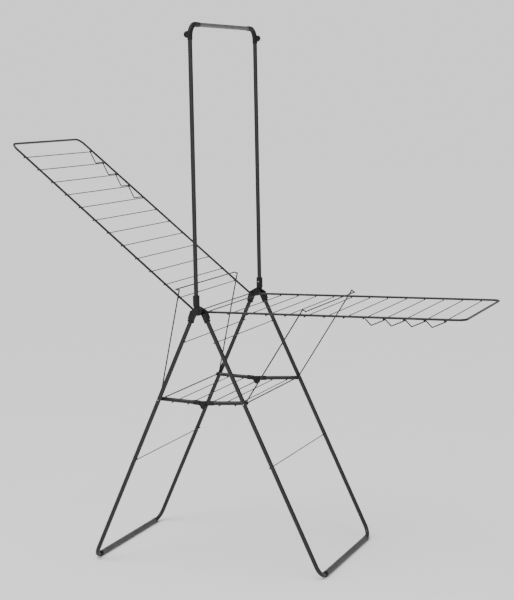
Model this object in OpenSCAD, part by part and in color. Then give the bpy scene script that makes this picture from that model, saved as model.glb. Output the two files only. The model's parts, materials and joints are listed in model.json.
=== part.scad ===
// Free-standing folding clothes airer: two hinged leg frames, two wings on
// props, a shelf that locks the legs open, and a lift-off garment rail.
// +X is right, +Y is back, +Z is up. The origin is on the floor, below the
// hub pins. Right-hand parts are the left-hand parts turned half a turn.

/* [Frame] */
// Height of the hub pins above the floor
hub_height = 956; // [900:1:1000]
// Lean of each leg from the vertical, in degrees
leg_angle = 24.6; // [22:0.2:27]
// Distance between the front and back legs, centre to centre
frame_depth = 591; // [560:1:620]
// Outer diameter of the leg and rail tubes
leg_tube_d = 16; // [15:0.5:17]
// Wall of the leg and rail tubes
leg_tube_wall = 1; // [0.8:0.1:1.5]
// Distance of each leg's axis from the hub pin
leg_offset = 14; // [13:0.5:16]
// Bend radius at the foot of each leg frame
foot_bend = 42; // [38:1:60]
// Outer diameter of the sleeve on each foot bar
foot_sleeve_d = 20; // [19:0.5:22]

/* [Rail] */
// Height of the garment rail's axis above the floor
rail_height = 1974; // [1800:1:2000]
// Sideways distance of each upright from the hub pin
upright_offset = 9; // [8:0.5:10]
// Bend radius of the rail's elbows
elbow_bend = 45; // [38:1:55]

/* [Wings] */
// Length of a wing from its pivot to its outer bar
wing_length = 950; // [900:1:980]
// Distance between the wing's side tubes, centre to centre
wing_width = 548; // [520:1:550]
// Outer diameter of the wing tubes
wing_tube_d = 8.5; // [7:0.5:9]
// Number of drying wires across each wing
wing_wires = 12; // [8:1:12]
// Distance from one wing wire to the next
wire_pitch = 72.3; // [68:0.1:73]
// Diameter of the drying wires
wire_d = 3.5; // [2.5:0.1:3.5]
// Diameter of the zigzag hanger wires
hanger_wire_d = 4.4; // [3:0.1:4.5]
// How far the left wing is raised, in degrees
left_wing_angle = 39.8; // [38:0.2:41]
// How far the right wing is raised, in degrees
right_wing_angle = 0; // [-1:0.2:1]

/* [Props] */
// Diameter of the bent wire props
prop_d = 5; // [4:0.1:5]
// Angle of the left prop above the horizontal, in degrees
left_prop_angle = 102.2; // [101:0.2:103]
// Angle of the right prop above the horizontal, in degrees
right_prop_angle = 57.2; // [56.5:0.1:58]

/* [Shelf] */
// Height of the shelf's outer pivots above the floor
shelf_height = 624; // [612:1:637]
// How far the shelf's tubes dip towards the middle
shelf_dip = 9; // [7:1:11]
// Outer diameter of the shelf's tubes
shelf_tube_d = 15; // [13:0.5:15]

/* [Hidden] */
$fn = 48;
fine = 24;
gap = 0.3;
fit = 0.05;
weld = 0.3;

leg_y = frame_depth / 2;
leg_r = leg_tube_d / 2;
foot_r = foot_sleeve_d / 2;
foot_flat = 0.45;
foot_axis = foot_r - foot_flat;
leg_length = (hub_height + leg_offset * sin(leg_angle) - foot_axis) / cos(leg_angle);
leg_top = 20;
foot_straight = leg_y - foot_bend;
collar_w = 12;
collar_r = foot_r + 0.6;
leg_wire_heights = [128, 618];

// Hub: three knuckles side by side on each hub pin
knuckle_r = 16;
knuckle_w = 7.7;
hub_pin_r = 4;
pin_head_r = 7;
pin_head_w = 1.8;
pin_stub = 1;
bore_reach = 20;
hub_half_w = 12;
hub_face_y = leg_y + hub_half_w;
socket_r = 11.6;
socket_top = 17;
socket_mouth = 50;
socket_lip_r = 12.8;
socket_lip_w = 4;
wing_boss_r = 10;
wing_pivot_out = 17.4;
wing_pivot_down = 14;
hub_plate_inset = 0.98;

// Rail
rail_knuckle_w = 8;
rail_socket_r = 12.3;
rail_socket_base = 17;
rail_socket_top = 56;
rail_socket_floor = 20;
upright_foot = hub_height + rail_socket_floor + gap;
elbow_r = 9.5;
elbow_drop = 55;
elbow_reach = 73;
elbow_grip = 13;
ear_r = 12;
ear_reach = 9.5;
ear_neck_r = 7;
ear_height = 19;
ear_w = 12;
rail_skew = atan2(leg_y, upright_offset);
screw_height = 40;
screw_head_r = 2.7;
screw_head_w = 1.2;
screw_shank_r = 1.3;
screw_length = 4;

// Wings, in their own frame: s runs outwards, t is upwards
wing_y = wing_width / 2;
wing_r = wing_tube_d / 2;
wing_wall = 0.8;
wing_bend = 30;
wing_tail = 7;
wing_rod_r = 2.2;
wire_r = wire_d / 2;
wire_drop = wing_r + wire_r - weld;
first_wire = wing_length - wing_wires * wire_pitch;
wing_pivot_x = wing_pivot_out * cos(leg_angle) + wing_pivot_down * sin(leg_angle);
wing_pivot_z = hub_height + wing_pivot_out * sin(leg_angle) - wing_pivot_down * cos(leg_angle);
hanger_teeth = 4;
hanger_start = first_wire + 7.1 * wire_pitch;
hanger_depth = 22;
hanger_run = 21;
hanger_bend = 3;
hanger_wire_r = hanger_wire_d / 2;
hanger_drop = wing_r + hanger_wire_r - weld;
hanger_dip = atan2(hanger_depth, hanger_run);
hanger_climb = atan2(hanger_depth, wire_pitch - hanger_run);
hanger_turn = hanger_dip + hanger_climb;
hanger_down = norm([hanger_depth, hanger_run]);
hanger_up = norm([hanger_depth, wire_pitch - hanger_run]);
hanger_take_up = take_up(hanger_turn, hanger_bend);

// Pivots on the legs that the shelf and the props share
pivot_down = (hub_height + leg_offset * sin(leg_angle) - shelf_height) / cos(leg_angle);
pivot_x = leg_offset * cos(leg_angle) + pivot_down * sin(leg_angle);
pivot_pin_r = 2.5;

// Props, in their own frame: u runs along the arm, v is outwards
prop_r = prop_d / 2;
prop_arm_y = leg_y - leg_r - prop_r - 0.5;
prop_top = 414;
prop_hook = 13;
prop_hook_r = prop_r - 0.1;
prop_bar_r = prop_r - 0.2;
prop_eye_mid = 4.5;
prop_eye_r = 6.5;

// Shelf, in the left half's frame: w runs from the leg to the middle
shelf_r = shelf_tube_d / 2;
shelf_wall = 1;
shelf_y = 271;
shelf_slope = atan2(shelf_dip, pivot_x);
shelf_pin_drop = 20;
shelf_pin_w = pivot_x * cos(shelf_slope) + shelf_pin_drop * sin(shelf_slope);
shelf_pin_q = pivot_x * sin(shelf_slope) - shelf_pin_drop * cos(shelf_slope);
shelf_pin_r = 2;
knuckle_disc_r = 11;
knuckle_sleeve_r = 9;
knuckle_sleeve_w = 26;
knuckle_back = 14;
tongue_reach = 10;
shelf_plug_w = 10;
shelf_wire_pitch = 62;
shelf_wire_drop = shelf_r + wire_r - weld;

// ---- frames of reference -------------------------------------------------

// Half a turn about Z, which makes a right-hand part from a left-hand one
module turned() rotate([0, 0, 180]) children();

// The left leg's frame: hub pin at the origin, the leg running down -Z
module at_leg() translate([0, 0, hub_height]) rotate([0, leg_angle, 0]) children();

// A wing's frame on the left: pivot at the origin, the wing running along -X
module at_wing(angle)
    translate([-wing_pivot_x, 0, wing_pivot_z]) rotate([0, angle, 0]) children();

// A prop's frame on the left: pivot at the origin, the arms running along -X
module at_prop(angle)
    translate([-pivot_x, 0, shelf_height]) rotate([0, angle, 0]) children();

// The left shelf half's frame: leg pivot at the origin, the bars along +X
module at_shelf()
    translate([-pivot_x, 0, shelf_height]) rotate([0, shelf_slope, 0]) children();

// ---- general shapes ------------------------------------------------------

function unit(v) = v / norm(v);

// A cylinder along Y from one y to another
module y_rod(r, y1, y2, sides = $fn)
    translate([0, y1, 0]) rotate([-90, 0, 0]) cylinder(h = y2 - y1, r = r, $fn = sides);

// A ring, or a disc where the inner radius is 0
module ring(outer, inner) difference() {
    circle(r = outer);
    if (inner > 0) circle(r = inner);
}

// A straight length of bar or tube from one point to another
module straight(a, b, outer, inner) {
    along = unit(b - a);
    side = abs(along.y) < 0.9 ? unit(cross([0, 1, 0], along)) : unit(cross([0, 0, 1], along));
    up = cross(along, side);
    multmatrix([
        [side.x, up.x, along.x, a.x],
        [side.y, up.y, along.y, a.y],
        [side.z, up.z, along.z, a.z]
    ]) linear_extrude(norm(b - a)) ring(outer, inner);
}

// A bar or tube bent the way a machine bends it. It starts along +Z, and each
// step is [feed, turn, roll]: a straight length, the angle of the bend after it,
// and how far the tube first rolls about itself, counted from bending towards +X.
module bent_bar(steps, radius, outer, inner = 0, i = 0) {
    linear_extrude(steps[i].x) ring(outer, inner);
    if (i < len(steps) - 1)
        translate([0, 0, steps[i].x]) rotate([0, 0, steps[i].z]) translate([radius, 0, 0]) {
            rotate([90, 0, 180]) rotate_extrude(angle = steps[i].y)
                translate([radius, 0]) ring(outer, inner);
            rotate([0, steps[i].y, 0]) translate([-radius, 0, 0])
                bent_bar(steps, radius, outer, inner, i + 1);
        }
}

// How much straight wire a bend takes up on each side of its corner
function take_up(turn, radius) = radius * tan(turn / 2);

// Two discs joined by a web that stays just inside their common tangents
module link_shape(a, ra, b, rb) {
    along = unit(b - a);
    across = [-along.y, along.x];
    lean = (ra - rb) / norm(b - a);
    side = sqrt(1 - lean * lean);
    translate(a) circle(r = ra);
    translate(b) circle(r = rb);
    polygon(hub_plate_inset * [
        a + ra * (lean * along + side * across), b + rb * (lean * along + side * across),
        b + rb * (lean * along - side * across), a + ra * (lean * along - side * across)
    ] + (1 - hub_plate_inset) * [a, b, b, a]);
}

// A flat plate in the XZ plane between two values of y
module y_plate(y1, y2) translate([0, y2, 0]) rotate([90, 0, 0]) linear_extrude(y2 - y1) children();

// ---- leg frames ----------------------------------------------------------

module leg_tube() color("#232425") at_leg() difference() {
    translate([-leg_offset, -leg_y, -leg_top]) rotate([180, 0, 0]) bent_bar(
        [
            [leg_length - leg_top - foot_bend, 90, -90],
            [2 * foot_straight, 90, 0],
            [leg_length - leg_top - foot_bend, 0, 0]
        ],
        foot_bend, leg_r, leg_r - leg_tube_wall
    );
    translate([-leg_offset, 0, -pivot_down]) {
        y_rod(pivot_pin_r, -leg_y - leg_tube_d, -leg_y + leg_tube_d);
        y_rod(pivot_pin_r, leg_y - leg_tube_d, leg_y + leg_tube_d);
    }
}

// Two cross wires welded to the inner side of the leg frame
module leg_wires() color("#3a3b3c") at_leg()
    for (down = leg_wire_heights)
        translate([-leg_offset + leg_r + wire_r - weld, 0, -down])
            y_rod(wire_r, -leg_y - leg_r + 1, leg_y + leg_r - 1, fine);

// What goes round the bottom bar is cut flat underneath, where it stands
module round_foot_bar() difference() {
    at_leg() translate([-leg_offset, 0, -leg_length]) difference() {
        children();
        y_rod(leg_r + fit, -foot_straight - 1, foot_straight + 1);
    }
    translate([-hub_height, -leg_y, -foot_sleeve_d]) cube([2 * hub_height, 2 * leg_y, foot_sleeve_d]);
}

// Grip sleeve on the bottom bar
module foot_sleeve() color("#5d5e60") round_foot_bar()
    y_rod(foot_r, -foot_straight + collar_w, foot_straight - collar_w);

// A broader collar at each end of the sleeve
module foot_collars() color("#161617") round_foot_bar()
    for (side = [-1, 1])
        translate([0, side * (foot_straight - collar_w / 2), 0])
            y_rod(collar_r, -collar_w / 2, collar_w / 2);

// ---- hub -----------------------------------------------------------------

// One half of a hub: a knuckle, a boss for the wing and a socket for the leg.
// "face" is the y of the knuckle's outer face and "side" the way it faces.
module hub_half(side, face) color("#1b1c1d") at_leg() difference() {
    union() {
        translate([0, side * face, 0]) y_plate(min(0, -side * knuckle_w), max(0, -side * knuckle_w)) {
            link_shape([0, 0], knuckle_r, [-wing_pivot_out, -wing_pivot_down], wing_boss_r);
            polygon([
                [-4, -12], [-leg_offset + socket_r, -socket_top - 2],
                [-leg_offset + socket_r, -socket_mouth + 10],
                [-leg_offset - socket_r, -socket_mouth + 10],
                [-wing_pivot_out - wing_boss_r + 0.5, -wing_pivot_down - 2]
            ]);
        }
        translate([-leg_offset, side * leg_y, -socket_mouth]) {
            cylinder(h = socket_mouth - socket_top, r = socket_r);
            cylinder(h = socket_lip_w, r = socket_lip_r);
        }
    }
    y_rod(hub_pin_r + fit, side * leg_y - bore_reach, side * leg_y + bore_reach);
    translate([-wing_pivot_out, 0, -wing_pivot_down])
        y_rod(wing_rod_r + fit, side * leg_y - bore_reach, side * leg_y + bore_reach);
    translate([-leg_offset, side * leg_y, -socket_mouth - 1])
        cylinder(h = socket_mouth - leg_top + 1, r = leg_r + fit);
}

module outer_hub_half() hub_half(-1, hub_face_y);

module inner_hub_half() hub_half(1, leg_y - hub_half_w + knuckle_w);

// Pin with a broad head outside and a narrow one inside
module hub_pin(side) color("#3c3d3f") translate([0, side * leg_y, hub_height]) {
    y_rod(hub_pin_r, -hub_half_w - pin_stub, hub_half_w + pin_stub);
    for (end = [-1, 1])
        translate([0, end * (hub_half_w + gap + pin_head_w / 2), 0])
            y_rod(pin_head_r, -pin_head_w / 2, pin_head_w / 2);
}

// Knuckle on the hub pin with the sleeve that takes the foot of an upright
module rail_socket() color("#1b1c1d") translate([0, -leg_y, hub_height]) difference() {
    union() {
        y_plate(-rail_knuckle_w / 2, rail_knuckle_w / 2) {
            circle(r = knuckle_r);
            polygon([[-knuckle_r, 0], [4, 0], [3, rail_socket_base + 2], [-19, rail_socket_base + 2]]);
        }
        translate([-upright_offset, 0, rail_socket_base])
            cylinder(h = rail_socket_top - rail_socket_base, r = rail_socket_r);
    }
    y_rod(hub_pin_r + fit, -bore_reach, bore_reach);
    translate([-upright_offset, 0, rail_socket_floor])
        cylinder(h = rail_socket_top, r = leg_r + fit);
    translate([-upright_offset, 0, screw_height])
        y_rod(screw_shank_r, rail_socket_r - screw_length + 0.8, rail_socket_r + 1, fine);
}

module socket_screw() translate([-upright_offset, -leg_y, hub_height + screw_height]) {
    y_rod(screw_shank_r, rail_socket_r - screw_length + 0.9, rail_socket_r + 0.1, fine);
    translate([0, rail_socket_r + 0.1, 0]) y_rod(screw_head_r, 0, screw_head_w, fine);
}

module socket_screws() color("#8f9092") {
    socket_screw();
    turned() socket_screw();
}

// ---- garment rail --------------------------------------------------------

module upright() color("#232425")
    straight(
        [-upright_offset, -leg_y, upright_foot],
        [-upright_offset, -leg_y, rail_height - elbow_drop + elbow_grip],
        leg_r, leg_r - leg_tube_wall
    );

module top_bar() color("#3a3b3c") rotate([0, 0, rail_skew]) {
    reach = norm([upright_offset, leg_y]) - elbow_reach + elbow_grip;
    straight([-reach, 0, rail_height], [reach, 0, rail_height], leg_r, leg_r - leg_tube_wall);
}

// Elbow from the upright to the bar, with a rounded ear on its outer side
module elbow() color("#1b1c1d") translate([-upright_offset, -leg_y, rail_height - elbow_drop])
    difference() {
        union() {
            rotate([0, 0, rail_skew]) bent_bar(
                [[elbow_drop - elbow_bend, 90, 0], [elbow_reach - elbow_bend, 0, 0]],
                elbow_bend, elbow_r
            );
            y_plate(-ear_w / 2, ear_w / 2) {
                link_shape([-ear_reach, ear_height], ear_r, [-2, 13], ear_neck_r);
                link_shape([-ear_reach, ear_height], ear_r, [-1, 25], ear_neck_r);
            }
        }
        translate([0, 0, -1]) cylinder(h = elbow_grip + 1, r = leg_r + fit);
        rotate([0, 0, rail_skew]) translate([elbow_reach - elbow_grip, 0, elbow_drop])
            rotate([0, 90, 0]) cylinder(h = elbow_grip + 1, r = leg_r + fit);
    }

// ---- wings ---------------------------------------------------------------

module wing_tube(angle) color("#232425") at_wing(angle) difference() {
    translate([wing_tail, -wing_y, 0]) rotate([0, -90, 0]) bent_bar(
        [
            [wing_tail + wing_length - wing_bend, 90, 90],
            [2 * (wing_y - wing_bend), 90, 0],
            [wing_tail + wing_length - wing_bend, 0, 0]
        ],
        wing_bend, wing_r, wing_r - wing_wall
    );
    y_rod(wing_rod_r, -wing_y - wing_tube_d, wing_y + wing_tube_d);
}

// Rod through both side tubes whose ends turn in the hub halves. The front
// end reaches the outer half, the back end the inner one.
module wing_pivot_rod(angle) color("#3a3b3c") at_wing(angle)
    y_rod(wing_rod_r, -hub_face_y + 1, leg_y - hub_half_w + knuckle_w - 1);

module wing_wire_set(angle) color("#3a3b3c") at_wing(angle)
    for (i = [0 : wing_wires - 1])
        translate([-first_wire - i * wire_pitch, 0, -wire_drop])
            y_rod(wire_r, -wing_y - wing_r, wing_y + wing_r, fine);

// Zigzag wire below the back side tube that keeps coat hangers apart: each
// tooth drops steeply and climbs gently back to the tube
module hanger_wire(angle) color("#2b2c2d") at_wing(angle)
    translate([-hanger_start, wing_y, -hanger_drop]) rotate([0, -90 - hanger_dip, 0]) bent_bar(
        [for (i = [0 : hanger_teeth - 1]) each [
            [hanger_down - hanger_take_up * (i == 0 ? 1 : 2), hanger_turn, i == 0 ? 0 : 180],
            [hanger_up - hanger_take_up * (i == hanger_teeth - 1 ? 1 : 2), hanger_turn, 180]
        ]],
        hanger_bend, hanger_wire_r, $fn = fine
    );

// ---- props ---------------------------------------------------------------

// Wire prop: two arms that turn on the leg pins and pass outside the wing's
// side tubes, and a hooked bar that joins them across the top of the wing.
// Each piece is a little thinner than the one it crosses, as where it is welded.
module prop(angle) color("#2b2c2d") at_prop(angle) difference() {
    union() {
        for (side = [-1, 1]) {
            arm_y = side * prop_arm_y;
            straight([-prop_eye_mid, arm_y, 0], [-prop_top - prop_r, arm_y, 0], prop_r, 0);
            translate([-prop_top, arm_y, -prop_hook - prop_hook_r])
                cylinder(h = prop_hook + 2 * prop_hook_r, r = prop_hook_r);
            translate([0, arm_y, 0]) y_rod(prop_eye_r, -prop_r, prop_r);
        }
        translate([-prop_top, 0, -prop_hook])
            y_rod(prop_bar_r, -prop_arm_y - prop_bar_r, prop_arm_y + prop_bar_r);
    }
    for (side = [-1, 1])
        translate([0, side * prop_arm_y, 0]) y_rod(pivot_pin_r + fit, -10, 10);
}

// Pins through the leg tubes. The left ones also carry the shelf.
module pivot_pin_pair(inner) color("#77787a") translate([-pivot_x, 0, shelf_height]) {
    y_rod(pivot_pin_r, -leg_y - leg_r - 1, -inner);
    y_rod(pivot_pin_r, inner, leg_y + leg_r + 1);
}

module left_pivot_pins() pivot_pin_pair(shelf_y + 0.2);

module right_pivot_pins() turned() pivot_pin_pair(prop_arm_y - prop_r);

// ---- shelf ---------------------------------------------------------------

// What one half has at the front, and has again at the back
module on_both_bars() for (side = [-1, 1]) translate([0, side * shelf_y, 0]) children();

module shelf_bars() color("#232425") at_shelf() on_both_bars()
    straight(
        [shelf_plug_w, 0, 0], [shelf_pin_w - knuckle_back - fit, 0, 0],
        shelf_r, shelf_r - shelf_wall
    );

// Plug with a rounded end and the bore for the leg pin
module shelf_plugs() color("#1b1c1d") at_shelf() on_both_bars() difference() {
    union() {
        sphere(r = shelf_r);
        straight([0, 0, 0], [shelf_plug_w, 0, 0], shelf_r, 0);
        straight([shelf_plug_w, 0, 0], [2 * shelf_plug_w, 0, 0], shelf_r - shelf_wall - fit, 0);
    }
    y_rod(pivot_pin_r + fit, -shelf_r - 1, shelf_r + 1);
}

// Knuckle at the middle of the shelf: a sleeve on the tube and half a hinge
module shelf_knuckle(side) translate([shelf_pin_w, side * shelf_y, 0]) difference() {
    union() {
        straight([-knuckle_back - knuckle_sleeve_w, 0, 0], [-knuckle_back, 0, 0], knuckle_sleeve_r, 0);
        y_plate(-shelf_r, -fit * 3) {
            translate([0, shelf_pin_q]) circle(r = knuckle_disc_r);
            polygon([
                [-knuckle_back - 2, -shelf_r], [-6, shelf_pin_q - 7], [6, shelf_pin_q + 7],
                [tongue_reach, -2], [tongue_reach, shelf_r], [-knuckle_back - 2, shelf_r]
            ]);
        }
    }
    straight(
        [-knuckle_back - knuckle_sleeve_w - 1, 0, 0], [-knuckle_back - 0.01, 0, 0],
        shelf_r + fit, 0
    );
    translate([0, 0, shelf_pin_q]) y_rod(shelf_pin_r + fit, -10, 10);
}

module shelf_knuckles() color("#1b1c1d") at_shelf() {
    shelf_knuckle(-1);
    shelf_knuckle(1);
}

module shelf_wires() color("#3a3b3c") at_shelf()
    for (i = [1, 2])
        translate([shelf_pin_w - i * shelf_wire_pitch, 0, -shelf_wire_drop])
            y_rod(wire_r, -shelf_y - shelf_r + 1, shelf_y + shelf_r - 1, fine);

module shelf_end_rod() color("#2b2c2d") at_shelf()
    y_rod(pivot_pin_r, -shelf_y, shelf_y);

module shelf_hinge_rod() color("#3a3b3c") at_shelf()
    translate([shelf_pin_w, 0, shelf_pin_q]) y_rod(shelf_pin_r, -shelf_y - 9, shelf_y + 9);

// ---- nodes ---------------------------------------------------------------

leg_tube();  // left_leg_tube
turned() leg_tube();  // right_leg_tube
leg_wires();  // left_leg_wires
turned() leg_wires();  // right_leg_wires
foot_sleeve();  // left_foot_sleeve
turned() foot_sleeve();  // right_foot_sleeve
foot_collars();  // left_foot_collars
turned() foot_collars();  // right_foot_collars
outer_hub_half();  // left_outer_hub_half
inner_hub_half();  // left_inner_hub_half
turned() outer_hub_half();  // right_outer_hub_half
turned() inner_hub_half();  // right_inner_hub_half
hub_pin(-1);  // front_hub_pin
hub_pin(1);  // back_hub_pin
rail_socket();  // front_rail_socket
turned() rail_socket();  // back_rail_socket
socket_screws();
upright();  // front_upright
turned() upright();  // back_upright
top_bar();
elbow();  // front_elbow
turned() elbow();  // back_elbow
wing_tube(left_wing_angle);  // left_wing_tube
turned() wing_tube(right_wing_angle);  // right_wing_tube
wing_pivot_rod(left_wing_angle);  // left_wing_pivot_rod
turned() wing_pivot_rod(right_wing_angle);  // right_wing_pivot_rod
wing_wire_set(left_wing_angle);  // left_wing_wires
turned() wing_wire_set(right_wing_angle);  // right_wing_wires
hanger_wire(left_wing_angle);  // left_hanger_wire
turned() hanger_wire(right_wing_angle);  // right_hanger_wire
prop(left_prop_angle);  // left_prop
turned() prop(right_prop_angle);  // right_prop
left_pivot_pins();
right_pivot_pins();
shelf_bars();  // left_shelf_bars
turned() shelf_bars();  // right_shelf_bars
shelf_plugs();  // left_shelf_plugs
turned() shelf_plugs();  // right_shelf_plugs
shelf_knuckles();  // left_shelf_knuckles
turned() shelf_knuckles();  // right_shelf_knuckles
shelf_wires();  // left_shelf_wires
turned() shelf_wires();  // right_shelf_wires
shelf_end_rod();  // left_shelf_end_rod
turned() shelf_end_rod();  // right_shelf_end_rod
shelf_hinge_rod();
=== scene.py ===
"""A folding clothes airer on a plain white floor.

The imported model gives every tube, wire and hub. This script finishes their
surfaces, adds the small pieces that ride on them, and sets up the studio.
All lengths are in metres, in the model's own frame: +X right, +Y back, +Z up.
"""

import json
import math

import bpy
from mathutils import Matrix, Vector


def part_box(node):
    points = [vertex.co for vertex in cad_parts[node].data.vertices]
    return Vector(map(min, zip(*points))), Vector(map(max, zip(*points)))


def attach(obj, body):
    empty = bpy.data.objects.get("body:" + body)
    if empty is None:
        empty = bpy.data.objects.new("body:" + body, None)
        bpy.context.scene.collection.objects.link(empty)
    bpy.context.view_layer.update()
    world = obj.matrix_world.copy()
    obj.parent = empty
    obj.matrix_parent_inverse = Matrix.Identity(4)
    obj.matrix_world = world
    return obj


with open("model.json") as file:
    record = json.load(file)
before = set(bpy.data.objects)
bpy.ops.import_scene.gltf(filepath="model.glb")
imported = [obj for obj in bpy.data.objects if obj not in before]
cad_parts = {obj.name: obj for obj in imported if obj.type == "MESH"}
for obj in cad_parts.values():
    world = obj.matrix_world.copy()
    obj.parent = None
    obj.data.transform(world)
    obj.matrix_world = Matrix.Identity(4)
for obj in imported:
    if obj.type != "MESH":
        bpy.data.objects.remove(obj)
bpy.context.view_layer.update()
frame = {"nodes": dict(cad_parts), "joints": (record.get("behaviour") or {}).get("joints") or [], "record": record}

# ---- places read from the frame ------------------------------------------

JOINTS = {joint["name"]: joint for joint in frame["joints"]}
HUB = Vector(JOINTS["leg_fold"]["pos_m"])


# ---- materials -----------------------------------------------------------

# Most of the noise lies between these values
NOISE_LOW = 0.3
NOISE_HIGH = 0.7
# Where a colour ramp leaves its dark end and reaches its light end
RAMP_DARK = 0.35
RAMP_LIGHT = 0.65
BUMP_STRENGTH = 0.5
# How strongly each surface mirrors what is round it
COAT_SPECULAR = 0.42
PLASTIC_SPECULAR = 0.25
# Depth of each surface's fine relief
PEEL_DEPTH = 0.00012
GRAIN_DEPTH = 0.00015
RING_DEPTH = 0.00005


def new_material(name):
    """An empty node material with a shader, and its tree."""
    material = bpy.data.materials.new(name)
    material.use_nodes = True
    tree = material.node_tree
    return material, tree, tree.nodes["Principled BSDF"]


def noise(tree, scale, detail=3.0, stretch=(1.0, 1.0, 1.0)):
    """Solid noise in the object's own coordinates, from 0 to 1."""
    place = tree.nodes.new("ShaderNodeTexCoord")
    mapping = tree.nodes.new("ShaderNodeMapping")
    mapping.inputs["Scale"].default_value = stretch
    texture = tree.nodes.new("ShaderNodeTexNoise")
    texture.inputs["Scale"].default_value = scale
    texture.inputs["Detail"].default_value = detail
    tree.links.new(place.outputs["Object"], mapping.inputs["Vector"])
    tree.links.new(mapping.outputs["Vector"], texture.inputs["Vector"])
    return texture.outputs["Fac"]


def spread(tree, value, low, high):
    """Maps noise onto the span from low to high."""
    node = tree.nodes.new("ShaderNodeMapRange")
    node.inputs["From Min"].default_value = NOISE_LOW
    node.inputs["From Max"].default_value = NOISE_HIGH
    node.inputs["To Min"].default_value = low
    node.inputs["To Max"].default_value = high
    tree.links.new(value, node.inputs["Value"])
    return node.outputs["Result"]


def shade(tree, factor, dark, light):
    """A colour that the factor picks between two shades."""
    ramp = tree.nodes.new("ShaderNodeValToRGB")
    ramp.color_ramp.elements[0].position = RAMP_DARK
    ramp.color_ramp.elements[0].color = (*dark, 1.0)
    ramp.color_ramp.elements[1].position = RAMP_LIGHT
    ramp.color_ramp.elements[1].color = (*light, 1.0)
    tree.links.new(factor, ramp.inputs["Fac"])
    return ramp.outputs["Color"]


def add_bump(tree, shader, height, depth):
    """Fine relief, with its depth in metres."""
    bump = tree.nodes.new("ShaderNodeBump")
    bump.inputs["Strength"].default_value = BUMP_STRENGTH
    bump.inputs["Distance"].default_value = depth
    tree.links.new(height, bump.inputs["Height"])
    tree.links.new(bump.outputs["Normal"], shader.inputs["Normal"])


def scaled(colour, amount):
    """A colour made darker or lighter."""
    return tuple(channel * amount for channel in colour)


def powder_coat(name, colour, roughness):
    """Baked powder paint: an even colour with a fine orange-peel skin."""
    material, tree, shader = new_material(name)
    cloud = noise(tree, scale=18.0)
    peel = noise(tree, scale=700.0, detail=2.0)
    paint = shade(tree, cloud, scaled(colour, amount=0.88), scaled(colour, amount=1.14))
    tree.links.new(paint, shader.inputs["Base Color"])
    tree.links.new(spread(tree, peel, roughness - 0.05, roughness + 0.07), shader.inputs["Roughness"])
    shader.inputs["Specular IOR Level"].default_value = COAT_SPECULAR
    add_bump(tree, shader, peel, PEEL_DEPTH)
    return material


def moulded_plastic(name, colour, roughness=0.55):
    """Moulded plastic with a spark-eroded grain."""
    material, tree, shader = new_material(name)
    grain = noise(tree, scale=1500.0, detail=4.0)
    cloud = noise(tree, scale=30.0)
    tone = shade(tree, cloud, scaled(colour, amount=0.85), scaled(colour, amount=1.2))
    tree.links.new(tone, shader.inputs["Base Color"])
    tree.links.new(spread(tree, grain, roughness - 0.08, roughness + 0.1), shader.inputs["Roughness"])
    shader.inputs["Specular IOR Level"].default_value = PLASTIC_SPECULAR
    add_bump(tree, shader, grain, GRAIN_DEPTH)
    return material


def plain_steel(name, colour, roughness=0.32):
    """Turned steel, with fine rings round the pin."""
    material, tree, shader = new_material(name)
    rings = noise(tree, scale=120.0, detail=2.0, stretch=(1.0, 12.0, 1.0))
    steel = shade(tree, rings, scaled(colour, amount=0.8), scaled(colour, amount=1.15))
    tree.links.new(steel, shader.inputs["Base Color"])
    tree.links.new(spread(tree, rings, roughness - 0.06, roughness + 0.12), shader.inputs["Roughness"])
    shader.inputs["Metallic"].default_value = 1.0
    add_bump(tree, shader, rings, RING_DEPTH)
    return material


COATS = {
    "frame_black": powder_coat("frame_black", (0.005, 0.005, 0.0053), roughness=0.36),
    "wire_grey": powder_coat("wire_grey", (0.004, 0.004, 0.0044), roughness=0.5),
    "rail_grey": powder_coat("rail_grey", (0.078, 0.078, 0.079), roughness=0.45),
    "foot_grey": moulded_plastic("foot_grey", (0.058, 0.058, 0.060)),
    "hub_plastic": moulded_plastic("hub_plastic", (0.007, 0.0071, 0.0074)),
    "pin_black": powder_coat("pin_black", (0.012, 0.012, 0.013), roughness=0.4),
    "pin_steel": plain_steel("pin_steel", (0.36, 0.36, 0.37)),
}

# The hub pins are painted, although their slot is steel
SPECIAL_COATS = {"front_hub_pin": "pin_black", "back_hub_pin": "pin_black"}


def finish_nodes():
    """Gives each carried-over node the coat of its slot."""
    for part in frame["record"]["subparts"]:
        holder = frame["nodes"][part["node"]]
        coat = COATS[SPECIAL_COATS.get(part["node"], part["material_slot"])]
        if not holder.material_slots:
            holder.data.materials.append(coat)
        for slot in holder.material_slots:
            slot.material = coat


finish_nodes()


# ---- small pieces --------------------------------------------------------

# Wires in one node are further apart than this
WIRE_APART = 0.006
# A weld bead reaches this far across its wire, and this far along it
BEAD_RADIUS = 0.0027
BEAD_REACH = 0.0044
BEAD_SIDES = 12
BEAD_RINGS = 8
# Its lumps: their height as a share of the radius, how many stand round it,
# and how far each bead's own are turned from the last bead's
LUMP_HEIGHT = 0.09
LUMP_COUNT = 3
LUMP_TURN = 1.7
# Radius of the tube that each kind of wire is welded to
WELDED = {"wing": 0.00425, "leg": 0.008, "shelf": 0.0075}
# Outlines of turned caps: how far each ring stands out, and its radius
PIN_CAP = (
    (-0.0004, 0.0066), (0.0004, 0.0066), (0.0010, 0.0058),
    (0.0013, 0.0040), (0.0013, 0.0022), (0.0008, 0.0014),
)
EAR_CAP = (
    (-0.0005, 0.0080), (0.0008, 0.0080), (0.0014, 0.0074),
    (0.0014, 0.0052), (0.0007, 0.0046), (0.0009, 0.0020),
)
TURNED_SIDES = 36
# The ear on each elbow: its round end, the height of the middle of that end
# above the bottom of the elbow, and half its thickness
EAR_RADIUS = 0.012
EAR_HEIGHT = 0.019
EAR_HALF_WIDTH = 0.006


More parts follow.
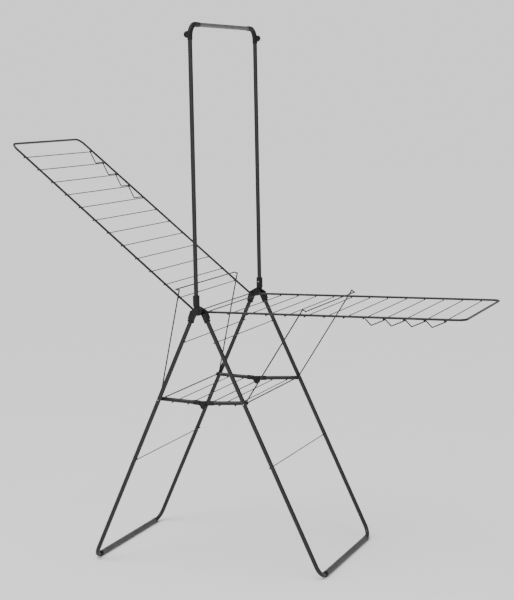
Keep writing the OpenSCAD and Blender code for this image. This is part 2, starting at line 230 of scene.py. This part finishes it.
def new_piece(name, vertices, faces, body, slot):
    """Adds a smooth mesh that rides on a body, in the coat of its slot."""
    mesh = bpy.data.meshes.new(name)
    mesh.from_pydata(vertices, [], faces)
    mesh.validate()
    mesh.polygons.foreach_set("use_smooth", [True] * len(mesh.polygons))
    mesh.materials.append(COATS[slot])
    piece = bpy.data.objects.new(name, mesh)
    bpy.context.scene.collection.objects.link(piece)
    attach(piece, body)


def wire_ends(node):
    """Both ends of each wire in a node of wires that run along Y.

    Each end comes with the way along Y that leads back into its wire: 1 or -1.
    """
    wires = []
    for vertex in frame["nodes"][node].data.vertices:
        for wire in wires:
            if math.hypot(vertex.co.x - wire[0].x, vertex.co.z - wire[0].z) < WIRE_APART:
                wire.append(vertex.co.copy())
                break
        else:
            wires.append([vertex.co.copy()])
    ends = []
    for wire in wires:
        x = (min(point.x for point in wire) + max(point.x for point in wire)) / 2
        z = (min(point.z for point in wire) + max(point.z for point in wire)) / 2
        ends.append((Vector((x, min(point.y for point in wire), z)), 1))
        ends.append((Vector((x, max(point.y for point in wire), z)), -1))
    return ends


def closed_rings(rings, sides, start=0):
    """Faces between rings of points, with a cap on the first and the last."""
    faces = []
    for ring in range(rings - 1):
        for side in range(sides):
            after = (side + 1) % sides
            near, far = start + ring * sides, start + (ring + 1) * sides
            faces.append((near + side, near + after, far + after, far + side))
    faces.append(tuple(start + side for side in reversed(range(sides))))
    faces.append(tuple(start + (rings - 1) * sides + side for side in range(sides)))
    return faces


def bead_points(centre, number):
    """Rings of points round a weld bead. The number gives each its own lumps."""
    points = []
    for ring in range(BEAD_RINGS):
        angle = math.pi * (ring + 0.5) / BEAD_RINGS
        for side in range(BEAD_SIDES):
            around = -2 * math.pi * side / BEAD_SIDES
            wave = math.sin(LUMP_COUNT * around + LUMP_TURN * number) * math.cos(2 * angle + number)
            radius = BEAD_RADIUS * math.sin(angle) * (1 + LUMP_HEIGHT * wave)
            points.append((
                centre.x + radius * math.cos(around),
                centre.y + BEAD_REACH * math.cos(angle),
                centre.z + radius * math.sin(around),
            ))
    return points


def add_welds(side, kind):
    """Adds a weld bead to both ends of each wire, over its tube."""
    vertices, faces = [], []
    for number, (end, inwards) in enumerate(wire_ends(f"{side}_{kind}_wires")):
        centre = end + Vector((0, inwards * WELDED[kind], 0))
        faces += closed_rings(BEAD_RINGS, BEAD_SIDES, len(vertices))
        vertices += bead_points(centre, number)
    new_piece(f"{side}_{kind}_welds", vertices, faces, f"{side}_{kind}", "wire_grey")


def add_turned_cap(name, centre, outwards, outline, body, slot):
    """Adds a turned cap that faces along Y, outwards being 1 or -1."""
    vertices = []
    for height, radius in outline:
        for side in range(TURNED_SIDES):
            around = outwards * 2 * math.pi * side / TURNED_SIDES
            vertices.append((
                centre.x + radius * math.sin(around),
                centre.y + outwards * height,
                centre.z + radius * math.cos(around),
            ))
    new_piece(name, vertices, closed_rings(len(outline), TURNED_SIDES), body, slot)


def add_pin_caps():
    """Adds a dimpled rivet head to both ends of each hub pin."""
    for place in ("front", "back"):
        low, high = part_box(f"{place}_hub_pin")
        for end, y, outwards in (("near", low[1], -1), ("far", high[1], 1)):
            centre = Vector((HUB.x, y, HUB.z))
            add_turned_cap(f"{place}_{end}_pin_cap", centre, outwards, PIN_CAP, "hub", "hub_plastic")


def add_ear_caps():
    """Adds a round cover to both faces of each elbow's ear."""
    for place, outside in (("front", 0), ("back", 1)):
        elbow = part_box(f"{place}_elbow")
        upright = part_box(f"{place}_upright")
        inwards = 1 - 2 * outside
        x = elbow[outside][0] + inwards * EAR_RADIUS
        y = (upright[0][1] + upright[1][1]) / 2
        z = elbow[0][2] + EAR_HEIGHT
        for face, outwards in (("near", -1), ("far", 1)):
            centre = Vector((x, y + outwards * EAR_HALF_WIDTH, z))
            add_turned_cap(f"{place}_ear_{face}_cap", centre, outwards, EAR_CAP, "rail", "hub_plastic")


for side in ("left", "right"):
    for kind in WELDED:
        add_welds(side, kind)
add_pin_caps()
add_ear_caps()


# ---- studio --------------------------------------------------------------

FLOOR_SIZE = 60.0
# The floor lies just below the feet, so that the two never share a surface
FLOOR_DROP = 0.0006
FLOOR_DARK = (0.91, 0.91, 0.91)
FLOOR_LIGHT = (0.92, 0.92, 0.92)
FLOOR_ROUGHNESS = 0.9
OVERHEAD_PLACE = (-1.2, -1.6, 6.0)
OVERHEAD_POWER = 2.6
OVERHEAD_SPREAD = math.radians(50.0)
PANEL_SIZE = 2.5
# Name, place and power of each panel
PANELS = (
    ("left_panel", (-3.5, -3.5, 3.0), 45.0),
    ("right_panel", (4.5, -3.0, 2.5), 32.0),
    ("front_panel", (1.6, -5.0, 1.8), 44.0),
)
# Strength of the white round the object, as light and as the camera sees it
WORLD_LIGHT = 0.55
WORLD_SEEN = 1.15
WHITE = (1.0, 1.0, 1.0, 1.0)


def make_floor():
    """A white floor that runs out of sight."""
    mesh = bpy.data.meshes.new("floor")
    half = FLOOR_SIZE / 2
    corners = [(-half, -half, 0), (half, -half, 0), (half, half, 0), (-half, half, 0)]
    mesh.from_pydata(corners, [], [(0, 1, 2, 3)])
    floor = bpy.data.objects.new("floor", mesh)
    floor.location.z = -FLOOR_DROP
    bpy.context.scene.collection.objects.link(floor)
    material, tree, shader = new_material("floor_white")
    grain = noise(tree, scale=4.0)
    white = shade(tree, grain, FLOOR_DARK, FLOOR_LIGHT)
    tree.links.new(white, shader.inputs["Base Color"])
    shader.inputs["Roughness"].default_value = FLOOR_ROUGHNESS
    mesh.materials.append(material)


def add_lamp(name, kind, place, power):
    """Adds a lamp of some kind that faces the hub, and returns its settings."""
    data = bpy.data.lights.new(name, kind)
    data.energy = power
    lamp = bpy.data.objects.new(name, data)
    lamp.location = place
    lamp.rotation_euler = (HUB - Vector(place)).to_track_quat("-Z", "Y").to_euler()
    bpy.context.scene.collection.objects.link(lamp)
    return data


def make_lamps():
    """One broad overhead light, and panels that draw the tubes' highlights."""
    overhead = add_lamp("overhead", "SUN", OVERHEAD_PLACE, OVERHEAD_POWER)
    overhead.angle = OVERHEAD_SPREAD
    for name, place, power in PANELS:
        panel = add_lamp(name, "AREA", place, power)
        panel.shape = "SQUARE"
        panel.size = PANEL_SIZE


def make_world():
    """White all round: bright where the camera sees it, dimmer as light."""
    world = bpy.data.worlds.new("studio")
    world.use_nodes = True
    tree = world.node_tree
    background = tree.nodes["Background"]
    background.inputs["Color"].default_value = WHITE
    seen = tree.nodes.new("ShaderNodeLightPath")
    strength = tree.nodes.new("ShaderNodeMapRange")
    strength.inputs["To Min"].default_value = WORLD_LIGHT
    strength.inputs["To Max"].default_value = WORLD_SEEN
    tree.links.new(seen.outputs["Is Camera Ray"], strength.inputs["Value"])
    tree.links.new(strength.outputs["Result"], background.inputs["Strength"])
    bpy.context.scene.world = world


make_floor()
make_world()
make_lamps()


# ---- camera --------------------------------------------------------------

# A long lens from the front right, above the hub and tipped a little sideways
CAMERA_AIM = HUB + Vector((0.0972, 0.0354, 0.0014))
CAMERA_DISTANCE = 6.018
CAMERA_YAW = math.radians(21.06)
CAMERA_PITCH = math.radians(7.27)
CAMERA_ROLL = math.radians(-1.115)
CAMERA_LENS = 96.0
CAMERA_SENSOR = 36.0


def make_camera():
    """Adds the camera, which looks at the airer from the front right."""
    ahead = Vector((
        -math.sin(CAMERA_YAW) * math.cos(CAMERA_PITCH),
        math.cos(CAMERA_YAW) * math.cos(CAMERA_PITCH),
        -math.sin(CAMERA_PITCH),
    ))
    level = Vector((math.cos(CAMERA_YAW), math.sin(CAMERA_YAW), 0.0))
    upright = level.cross(ahead)
    right = level * math.cos(CAMERA_ROLL) + upright * math.sin(CAMERA_ROLL)
    up = upright * math.cos(CAMERA_ROLL) - level * math.sin(CAMERA_ROLL)
    data = bpy.data.cameras.new("camera")
    data.sensor_width = CAMERA_SENSOR
    data.lens = CAMERA_LENS
    camera = bpy.data.objects.new("camera", data)
    turn = Matrix((right, up, -ahead)).transposed().to_4x4()
    camera.matrix_world = Matrix.Translation(CAMERA_AIM - ahead * CAMERA_DISTANCE) @ turn
    bpy.context.scene.collection.objects.link(camera)
    bpy.context.scene.camera = camera


make_camera()
